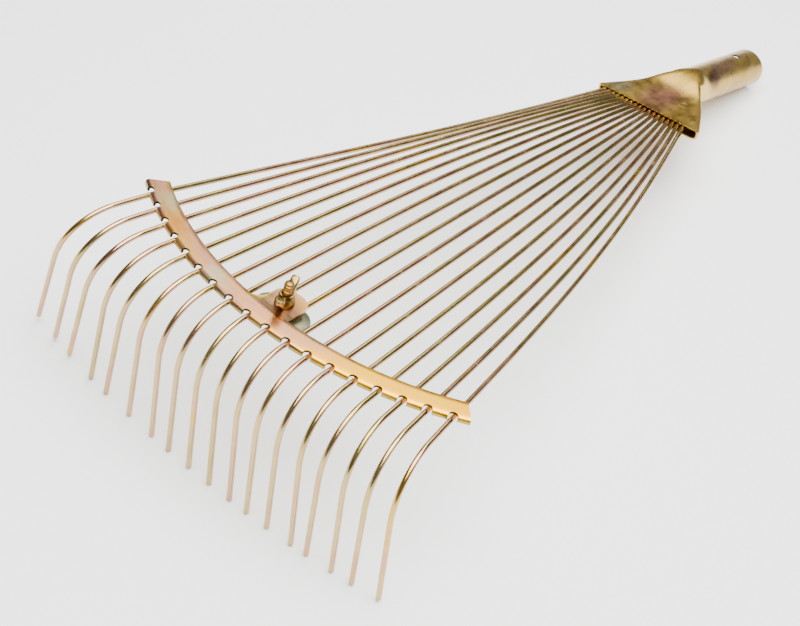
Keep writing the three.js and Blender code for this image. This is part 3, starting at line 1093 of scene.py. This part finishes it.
@dataclass
class SpreaderBar(Assembly):
    """The curved strip with its rolled, notched front edge and the tab for the clamp."""

    bar_x: float = 426.0
    bar_r: float = 228.0
    pitch_deg: float = 3.757
    count: int = 18
    sheet: float = 1.5
    width: float = 15.0
    lip: float = 2.5
    under: float = 2.9
    below: float = -0.4
    bend: float = 2.6
    end_deg: float = 2.6
    notch: float = 2.95
    notch_back: float = 0.6
    tab_half: float = 11.5
    tab_depth: float = 24.0
    tab_round: float = 8.5
    bolt_back: float = 23.0
    hole: float = 3.4

    def section(self) -> list[tuple[float, float]]:
        """Gives the section of the rolled strip, with softened edges.

        Returns:
            Radius and height round the section.
        """
        front, top = self.bar_r + self.lip, self.under + self.sheet
        back = front - self.width
        mid_r, mid_z = front - self.bend, top - self.bend
        quarter = [math.pi / 2 * i / 8 for i in range(9)]
        made = [(front - self.sheet, -self.below + 0.25), (front - self.sheet + 0.25, -self.below)]
        made += [(front - 0.3, -self.below), (front, -self.below + 0.3)]
        made += [(mid_r + self.bend * math.cos(a), mid_z + self.bend * math.sin(a)) for a in quarter]
        made += [(mid_r - 3 - 2 * i, top) for i in range(4)]
        made += [(back + 0.35, top), (back + 0.1, top - 0.1), (back, top - 0.35)]
        made += [(back, self.under + 0.35), (back + 0.1, self.under + 0.1), (back + 0.35, self.under)]
        inner = self.bend - self.sheet
        made += [(mid_r + inner * math.cos(a), mid_z + inner * math.sin(a)) for a in reversed(quarter[::2])]
        return made

    def build(self, punch: Tree, finish: bpy.types.Material) -> None:
        """Sweeps the strip, joins the tab, punches the notches and seats the bar.

        Args:
            punch: the tree that joins and punches.
            finish: the strip's material.
        """
        section = self.section()
        n, steps = len(section), 180
        half = math.radians((self.count / 2 - 0.5) * self.pitch_deg + self.end_deg)
        front = self.bar_r + self.lip
        verts = []
        for i in range(steps + 1):
            for r, z in section:
                # the ends are trimmed a little askew behind the front edge
                trim = math.radians(0.045) * (front - r)
                t = -(half - trim) + 2 * (half - trim) * i / steps
                verts.append(Vector((r * math.cos(t), r * math.sin(t), z)) * MM)
        faces = []
        for i in range(steps):
            for j in range(n):
                k = (j + 1) % n
                faces.append((i * n + j, i * n + k, (i + 1) * n + k, (i + 1) * n + j))
        faces += [tuple(reversed(range(n))), tuple(range(steps * n, steps * n + n))]
        strip = clean(mesh_object("strip", verts, faces))
        cutter, tab, hole = self._punch(), self._tab(), self._hole()
        bar = punch.run(
            strip,
            "spreader_bar_strip",
            Count=self.count,
            Pitch=math.radians(self.pitch_deg),
            Punch=cutter,
            Tab=tab,
            Hole=hole,
            Material=finish,
        )
        for spare in (cutter, tab, hole):
            bpy.data.objects.remove(spare)
        self._mark(bar)
        centre = Matrix.Translation(((self.bar_x - self.bar_r) * MM, 0, 0))
        bar.data.transform(REST @ centre)
        clean(bar)
        self.settle(bar, Slot.BAR, ["spreader_bar"])

    def _mark(self, bar: bpy.types.Object) -> None:
        """Stores the place along and behind the front edge for the finish.

        Args:
            bar: the punched strip, still about the arc's centre.
        """
        front = self.bar_r + self.lip
        mark = bar.data.attributes.new("sheet_mm", "FLOAT_VECTOR", "POINT")
        for cell, vertex in zip(mark.data, bar.data.vertices):
            x, y, z = vertex.co / MM
            cell.vector = (math.atan2(y, x) * self.bar_r, front - math.hypot(x, y), z)

    def _prism(self, name: str, outline: Outline, low: float, high: float) -> bpy.types.Object:
        """Makes an upright prism.

        Args:
            name: its name.
            outline: its plan about the arc's centre, in millimetres.
            low: height of its foot.
            high: height of its top.

        Returns:
            The prism.
        """
        n = len(outline)
        verts = [Vector((x, y, z)) * MM for z in (low, high) for x, y in outline]
        faces = [tuple(reversed(range(n))), tuple(range(n, 2 * n))]
        faces += [(j, (j + 1) % n, n + (j + 1) % n, n + j) for j in range(n)]
        return clean(mesh_object(name, verts, faces))

    def _punch(self) -> bpy.types.Object:
        """The round punch of one notch, on the x axis."""
        x = self.bar_r + self.lip - self.notch_back
        top = self.under + self.sheet
        return self._prism("punch", self._circle(x, self.notch), self.below - 5, top + 2)

    def _circle(self, x: float, radius: float, sides: int = 40) -> Outline:
        """A circle on the x axis as an outline."""
        turns = [2 * math.pi * i / sides for i in range(sides)]
        return [(x + radius * math.cos(a), radius * math.sin(a)) for a in turns]

    def _tab(self) -> bpy.types.Object:
        """Makes the tab, a hair inside the strip's faces.

        Returns:
            The tab's prism.
        """
        back = self.bar_r + self.lip - self.width
        low_x, r, half = back - self.tab_depth, self.tab_round, self.tab_half
        outline = [(back + 4, -half - 8), (back + 4, half)]
        for i in range(13):
            a = math.pi / 2 + math.pi / 2 * i / 12
            outline.append((low_x + r + r * math.cos(a), half - r + r * math.sin(a)))
        for i in range(13):
            a = math.pi + math.pi / 2 * i / 12
            outline.append((low_x + r + r * math.cos(a), r - half + r * math.sin(a)))
        outline += [(back - 9, -half), (back - 5, -half - 1.2)]
        outline += [(back - 2, -half - 3.6), (back + 1.5, -half - 8)]
        return self._prism("tab", outline, self.under + 0.01, self.under + self.sheet - 0.01)

    def _hole(self) -> bpy.types.Object:
        """The bolt hole's cutter."""
        circle = self._circle(self.bar_r - self.bolt_back, self.hole)
        return self._prism("hole", circle, 0.0, self.under + self.sheet + 2)


@dataclass
class Clamp(Assembly):
    """The plate under the wires, the bolt through it and the wing nut on top."""

    bolt_x: float = 403.0
    top: float = 4.4
    wire: float = 3.5
    gap: float = 0.3
    length: float = 38.0
    width: float = 24.0
    thick: float = 2.0
    bolt: float = 6.0
    stand: float = 16.0
    head: float = 14.0
    head_high: float = 3.0
    nut_turn_deg: float = 21.0

    def build(
        self,
        thread: Tree,
        plate: bpy.types.Material,
        bolt: bpy.types.Material,
        nut: bpy.types.Material,
    ) -> None:
        """Builds and seats the three pieces.

        Args:
            thread: the tree for the bolt's thread.
            plate: the plate's material.
            bolt: the bolt's material.
            nut: the wing nut's material.
        """
        self._plate(plate)
        self._bolt(thread, bolt)
        self._nut(nut)

    def _turned(self, name: str, profile: Outline, sides: int = 48) -> bpy.types.Object:
        """Makes a turned piece about the bolt's axis.

        Args:
            name: its name.
            profile: radius and height in millimetres.
            sides: how many steps round.

        Returns:
            The piece.
        """
        verts, faces = [], []
        n = len(profile)
        for i in range(sides):
            a = 2 * math.pi * i / sides
            verts += [(self.bolt_x + r * math.cos(a), r * math.sin(a), z) for r, z in profile]
            b = (i + 1) % sides * n
            faces += [(i * n + j, b + j, b + j + 1, i * n + j + 1) for j in range(n - 1)]
        return clean(mesh_object(name, placed(verts), faces))

    def _plate(self, finish: bpy.types.Material) -> None:
        """Builds and seats the round-ended plate, its edges softened.

        Args:
            finish: its material.
        """
        high = -self.wire / 2 - self.gap
        low = high - self.thick
        r, e, h = self.width / 2, self.length / 2 - self.width / 2, 3.4
        levels = [(low, 0.5), (low + 0.15, 0.15), (low + 0.5, 0)]
        levels += [(high - 0.5, 0), (high - 0.15, 0.15), (high, 0.5)]
        sides = 48
        loops = []
        for z, inset in levels:
            ring = []
            for i in range(sides):
                a = 2 * math.pi * (i + 0.5) / sides
                shift = e if math.sin(a) > 0 else -e
                ring.append((self.bolt_x + (r - inset) * math.cos(a), shift + (r - inset) * math.sin(a), z))
            loops.append(ring)
        turns = [2 * math.pi * (i + 0.5) / sides for i in range(sides)]
        for z in (high, low):
            loops.append([(self.bolt_x + h * math.cos(a), h * math.sin(a), z) for a in turns])
        verts = [p for ring in loops for p in ring]
        faces = []
        for i in range(len(loops)):
            a, b = i * sides, (i + 1) % len(loops) * sides
            faces += [(a + j, a + (j + 1) % sides, b + (j + 1) % sides, b + j) for j in range(sides)]
        plate = clean(mesh_object("clamp_plate_pressed", placed(verts), faces))
        plate.data.materials.append(finish)
        self.settle(plate, Slot.CLAMP, ["clamp_plate"])

    def _bolt(self, thread: Tree, finish: bpy.types.Material) -> None:
        """Builds and seats the domed bolt with its thread.

        Args:
            thread: the tree that winds the ridge.
            finish: its material.
        """
        seat = -self.wire / 2 - 2 * self.gap - self.thick
        low, r, core = seat - self.head_high, self.head / 2, self.bolt / 2 - 0.3
        end = self.top + self.stand
        dome = self.head_high - 0.5
        profile = [(0.0, low)]
        profile += [(r * math.sin(a), seat - 0.5 - dome * math.cos(a)) for a in (0.3, 0.6, 0.9, 1.2, 1.4)]
        profile += [(r, seat - 0.4), (r, seat - 0.1), (r - 0.15, seat)]
        profile += [(core + 0.3, seat), (core, seat + 0.3)]
        profile += [(core, end - 0.7), (core - 0.25, end - 0.3), (core - 0.7, end - 0.05), (0.0, end)]
        shank = self._turned("shank", profile)
        shank.data.transform(REST.inverted())
        made = thread.run(
            shank,
            "clamp_bolt_threaded",
            Turns=(end - self.top - 1.2) / 1.0 + 3,
            Radius=core * MM,
            Height=(end - self.top + 1.8) * MM,
            Ridge=0.3 * MM,
            Base=(self.bolt_x * MM, 0.0, (self.top - 3) * MM),
            Material=finish,
        )
        made.data.transform(REST)
        clean(made)
        self.settle(made, Slot.FIXING, ["clamp_bolt"])

    def _nut(self, finish: bpy.types.Material) -> None:
        """Builds and seats the conical hub with its two wings.

        Args:
            finish: its material.
        """
        low = self.top + self.gap
        hub = self._turned(
            "wing_nut_pressed",
            [
                (3.15, low + 0.2),
                (3.4, low),
                (5.7, low),
                (6.0, low + 0.3),
                (6.0, low + 1.7),
                (5.8, low + 2.3),
                (4.7, low + 6.9),
                (4.3, low + 7.4),
                (3.5, low + 7.5),
                (3.15, low + 7.2),
                (3.15, low + 0.2),
            ],
            64,
        )
        wings = [self._wing(side) for side in (0.0, 180.0)]
        for wing in wings:
            join = hub.modifiers.new("join", "BOOLEAN")
            join.object, join.operation, join.solver = wing, "UNION", "EXACT"
        graph = bpy.context.evaluated_depsgraph_get()
        mesh = bpy.data.meshes.new_from_object(hub.evaluated_get(graph), depsgraph=graph)
        hub.modifiers.clear()
        hub.data = mesh
        for wing in wings:
            bpy.data.objects.remove(wing)
        clean(hub, 40)
        hub.data.materials.clear()
        hub.data.materials.append(finish)
        self.settle(hub, Slot.FIXING, ["wing_nut"], "wing_nut")

    def _wing(self, side_deg: float) -> bpy.types.Object:
        """Makes one wing, a rounded blade that leans outwards.

        Args:
            side_deg: its turn from the first wing.

        Returns:
            The wing.
        """
        low = self.top + self.gap
        spine = [
            (3.9, 1.0, 3.6, 3.0),
            (5.4, 1.3, 5.0, 3.8),
            (7.2, 2.0, 7.4, 4.8),
            (9.2, 3.2, 9.6, 5.4),
            (11.0, 4.6, 11.2, 5.6),
            (12.4, 6.0, 12.0, 5.4),
            (13.2, 7.2, 12.0, 4.8),
            (13.5, 8.4, 11.4, 3.4),
        ]
        turn = math.radians(self.nut_turn_deg + side_deg)
        verts, faces = [], []
        sides = 20
        for reach, bottom, upper, thick in spine:
            for j in range(sides):
                a = 2 * math.pi * j / sides
                c, d = math.cos(a), math.sin(a)
                across = thick / 2 * math.copysign(abs(c) ** 0.5, c)
                z = low + (bottom + upper) / 2 + (upper - bottom) / 2 * math.copysign(abs(d) ** 0.6, d)
                x = self.bolt_x + reach * math.cos(turn) - across * math.sin(turn)
                y = reach * math.sin(turn) + across * math.cos(turn)
                verts.append((x, y, z))
        for i in range(len(spine) - 1):
            a, b = i * sides, (i + 1) * sides
            faces += [(a + j, a + (j + 1) % sides, b + (j + 1) % sides, b + j) for j in range(sides)]
        last = (len(spine) - 1) * sides
        faces += [tuple(reversed(range(sides))), tuple(range(last, last + sides))]
        return clean(mesh_object("wing", placed(verts), faces))


# ---- studio -------------------------------------------------------------------------------


@dataclass
class Studio:
    """Pale floor, soft lights and the camera."""

    eye: tuple[float, float, float] = (1101.3, 445.0, 663.8)
    target: tuple[float, float, float] = (344.76, 43.4, 0.0)
    roll_deg: float = 18.11
    lens: float = 81.8
    floor_tint: str = "fbfbfa"
    floor_half: float = 6.0  # metres

    def build(self) -> None:
        """Builds the set."""
        self._floor()
        self._light("overhead_softbox", (0.2, 0.3, 1.7), (0.1, 0.1, 0.0), 2.0, 138.0)
        self._light("back_panel", (-0.86, -0.52, 1.30), (0.1, 0.05, 0.05), 0.75, 11.0)
        self._world()
        self._camera()

    def _floor(self) -> None:
        """A wide pale floor at the row frame's zero."""
        s = self.floor_half
        corners = [(-s, -s, 0), (s, -s, 0), (s, s, 0), (-s, s, 0)]
        floor = mesh_object("studio_floor", corners, [(0, 1, 2, 3)])
        paper = bpy.data.materials.new("matt_white_paper")
        paper.use_nodes = True
        tree = paper.node_tree
        shader = tree.nodes["Principled BSDF"]
        coords = add(tree, "ShaderNodeTexCoord").outputs["Object"]
        tooth = add(tree, "ShaderNodeTexNoise", {"Vector": coords, "Scale": 400.0, "Detail": 3.0})
        tone = add(
            tree,
            "ShaderNodeMix",
            {0: tooth.outputs["Fac"], 6: to_linear(self.floor_tint), 7: to_linear("f7f7f6")},
            data_type="RGBA",
        )
        tree.links.new(tone.outputs[2], shader.inputs["Base Color"])
        shader.inputs["Roughness"].default_value = 0.9
        floor.data.materials.append(paper)

    def _light(
        self, name: str, at: Sequence[float], towards: Sequence[float], size: float, watts: float
    ) -> None:
        """Adds a square area light aimed at a point.

        Args:
            name: the lamp's name.
            at: its place in row-frame metres.
            towards: the point it shines at.
            size: its side in metres.
            watts: its power.
        """
        data = bpy.data.lights.new(name, "AREA")
        data.shape, data.size, data.energy = "SQUARE", size, watts
        lamp = bpy.data.objects.new(name, data)
        lamp.location = at
        aim = Vector(towards) - Vector(at)
        lamp.rotation_euler = aim.to_track_quat("-Z", "Y").to_euler()
        bpy.context.scene.collection.objects.link(lamp)

    def _world(self) -> None:
        """A dim grey room."""
        world = bpy.data.worlds.new("grey_room")
        world.use_nodes = True
        back = world.node_tree.nodes["Background"]
        back.inputs["Color"].default_value = to_linear("c8ccd0")
        back.inputs["Strength"].default_value = 0.3
        bpy.context.scene.world = world

    def _camera(self) -> None:
        """The camera, rolled about its line of sight."""
        data = bpy.data.cameras.new("view")
        data.lens, data.sensor_width = self.lens, 36.0
        camera = bpy.data.objects.new("view", data)
        aim = Vector(self.target) - Vector(self.eye)
        turn = aim.to_track_quat("-Z", "Y").to_matrix().to_4x4()
        roll = Matrix.Rotation(math.radians(self.roll_deg), 4, "Z")
        camera.matrix_world = REST @ Matrix.Translation(Vector(self.eye) * MM) @ turn @ roll
        bpy.context.scene.collection.objects.link(camera)
        bpy.context.scene.camera = camera


def main() -> None:
    """Builds the rake piece by piece, then the studio."""
    logging.basicConfig(level=logging.INFO, format="%(name)s: %(message)s")
    SocketHead("head").build(HEAD_FINISH.build())
    TineFan("head").build(sweep_tree(), WIRE_FINISH.build())
    SpreaderBar("spreader").build(punch_tree(), BAR_FINISH.build())
    Clamp("spreader").build(thread_tree(), CLAMP_FINISH.build(), BOLT_FINISH.build(), NUT_FINISH.build())
    Studio().build()


if __name__ == "__main__":
    main()
